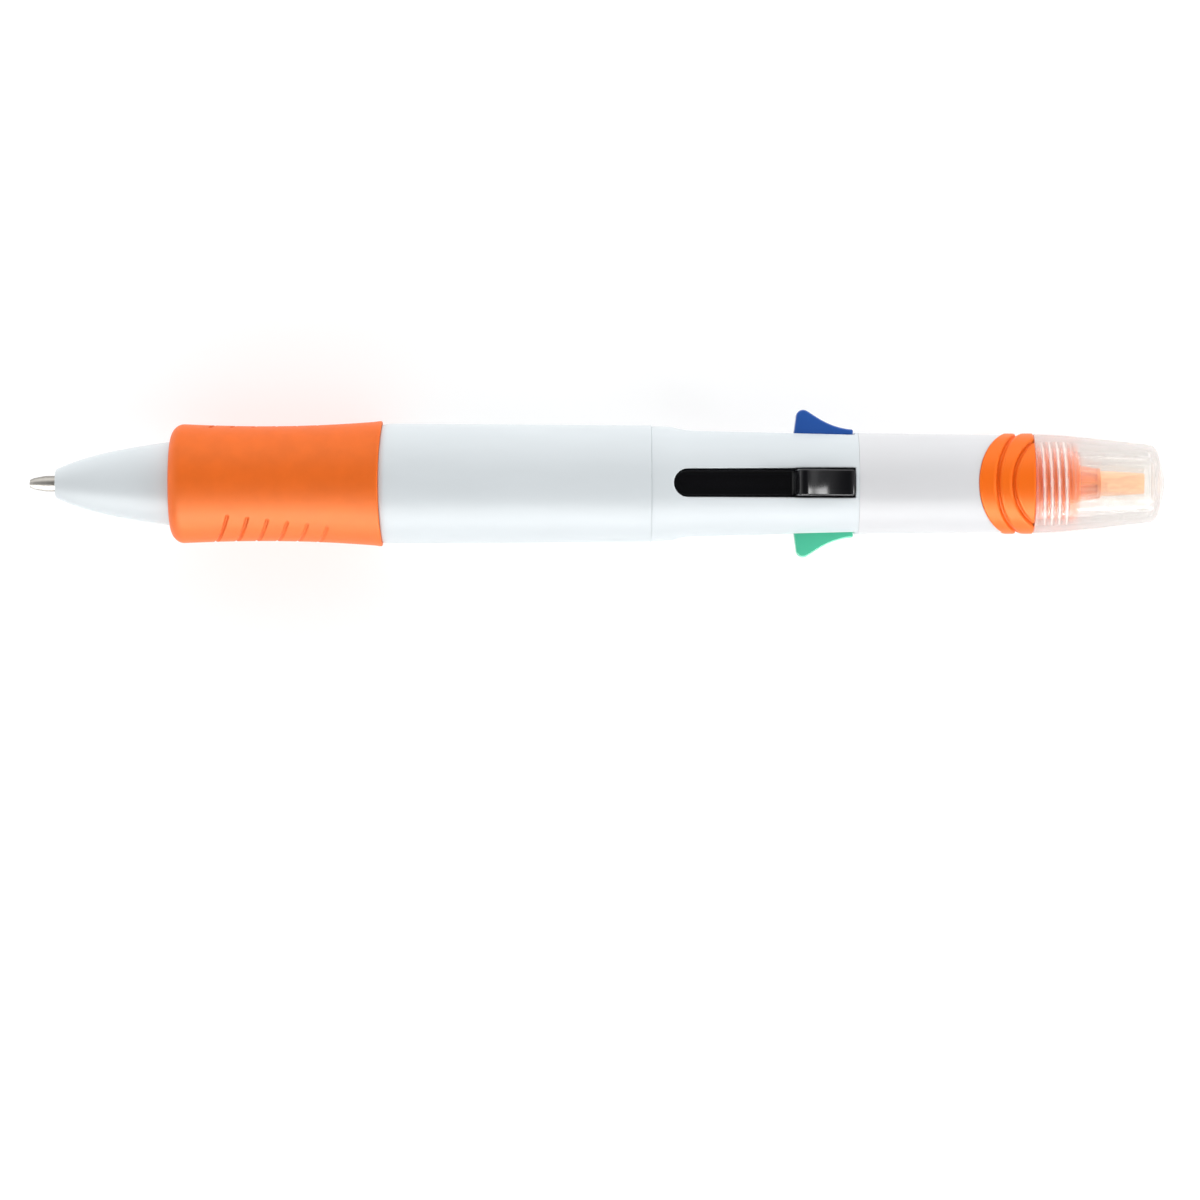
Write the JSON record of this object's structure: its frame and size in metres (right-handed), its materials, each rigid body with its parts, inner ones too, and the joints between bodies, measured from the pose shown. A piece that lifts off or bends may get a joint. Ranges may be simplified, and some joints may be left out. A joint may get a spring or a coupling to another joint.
{
  "type": "multicolor click pen",
  "caption": "Retractable multicolor ballpoint pen with spring-loaded sliders, a soft contoured grip, and a chisel highlighter under a clear screw cap at the tail.",
  "frame": {"origin": "on the pen's axis, half way between the writing tip and the end of the cap", "axes": "+X along the pen from the writing point to the highlighter cap, +Z through the black slider, +Y through the blue slider"},
  "size_m": [0.155, 0.02, 0.02],
  "materials": {
    "white_plastic": "cool white moulded plastic, glossy",
    "tail_plastic": "slightly warmer white moulded plastic, semi-gloss",
    "inner_plastic": "unpainted internal moulding",
    "orange_rubber": "soft orange rubber, satin",
    "orange_plastic": "bright orange plastic, glossy",
    "holder_plastic": "translucent orange plastic",
    "felt_nib": "bonded fibre soaked with orange ink",
    "ink_fibre": "fibre wadding soaked with orange ink",
    "black_plastic": "black plastic, glossy",
    "blue_plastic": "blue plastic, glossy",
    "green_plastic": "green plastic, glossy",
    "red_plastic": "red plastic, glossy",
    "refill_plastic": "milky ink tube",
    "point_metal": "turned nickel silver",
    "ball_metal": "polished carbide ball",
    "spring_steel": "drawn spring wire",
    "clear_cap": "clear frosted plastic cap"
  },
  "bodies": {
    "barrel": {"front_barrel": "white_plastic", "grip_sleeve": "orange_rubber", "refill_guide": "inner_plastic", "slotted_barrel": "white_plastic", "slider_core": "inner_plastic", "highlighter_housing": "tail_plastic", "highlighter_collar": "orange_plastic", "nib_holder": "holder_plastic", "highlighter_nib": "felt_nib", "ink_reservoir": "ink_fibre"},
    "slider_black": {"slider_black": "black_plastic", "refill_tube_black": "refill_plastic", "refill_spring_black": "spring_steel"},
    "refill_point_black": {"point_black": "point_metal", "ball_black": "ball_metal"},
    "slider_blue": {"slider_blue": "blue_plastic", "refill_tube_blue": "refill_plastic", "refill_spring_blue": "spring_steel"},
    "refill_point_blue": {"point_blue": "point_metal", "ball_blue": "ball_metal"},
    "slider_green": {"slider_green": "green_plastic", "refill_tube_green": "refill_plastic", "refill_spring_green": "spring_steel"},
    "refill_point_green": {"point_green": "point_metal", "ball_green": "ball_metal"},
    "slider_red": {"slider_red": "red_plastic", "refill_tube_red": "refill_plastic", "refill_spring_red": "spring_steel"},
    "refill_point_red": {"point_red": "point_metal", "ball_red": "ball_metal"},
    "cap": {"highlighter_cap": "clear_cap"}
  },
  "joints": [
    {"name": "black_slider", "type": "slide", "parent": "barrel", "child": "slider_black", "axis": [-1, 0, 0], "range_m": [0, 0.014], "stiffness_N_per_m": 100, "springref_m": -0.005, "deforming": ["refill_tube_black", "refill_spring_black"]},
    {"name": "blue_slider", "type": "slide", "parent": "barrel", "child": "slider_blue", "axis": [-1, 0, 0], "range_m": [0, 0.014], "stiffness_N_per_m": 100, "springref_m": -0.005, "deforming": ["refill_tube_blue", "refill_spring_blue"]},
    {"name": "green_slider", "type": "slide", "parent": "barrel", "child": "slider_green", "axis": [-1, 0, 0], "range_m": [0, 0.014], "stiffness_N_per_m": 100, "springref_m": -0.005, "deforming": ["refill_tube_green", "refill_spring_green"]},
    {"name": "red_slider", "type": "slide", "parent": "barrel", "child": "slider_red", "axis": [-1, 0, 0], "range_m": [-0.014, 0], "deforming": ["refill_tube_red", "refill_spring_red"]},
    {"name": "black_point_steer", "type": "slide", "parent": "slider_black", "child": "refill_point_black", "axis": [0, 0, 1], "range_m": [-0.0023, 0], "deforming": ["point_black", "ball_black"]},
    {"name": "blue_point_steer", "type": "slide", "parent": "slider_blue", "child": "refill_point_blue", "axis": [0, 1, 0], "range_m": [-0.0023, 0], "deforming": ["point_blue", "ball_blue"]},
    {"name": "green_point_steer", "type": "slide", "parent": "slider_green", "child": "refill_point_green", "axis": [0, -1, 0], "range_m": [-0.0023, 0], "deforming": ["point_green", "ball_green"]},
    {"name": "red_point_steer", "type": "slide", "parent": "slider_red", "child": "refill_point_red", "axis": [0, 0, -1], "range_m": [0, 0.0023], "deforming": ["point_red", "ball_red"]},
    {"name": "cap_pull", "type": "slide", "parent": "barrel", "child": "cap", "axis": [1, 0, 0], "range_m": [0, 0.03]}
  ],
  "couplings": [
    {"joint": "black_point_steer", "follows": "black_slider", "ratio": -0.16428},
    {"joint": "blue_point_steer", "follows": "blue_slider", "ratio": -0.16428},
    {"joint": "green_point_steer", "follows": "green_slider", "ratio": -0.16428},
    {"joint": "red_point_steer", "follows": "red_slider", "ratio": -0.16428}
  ]
}
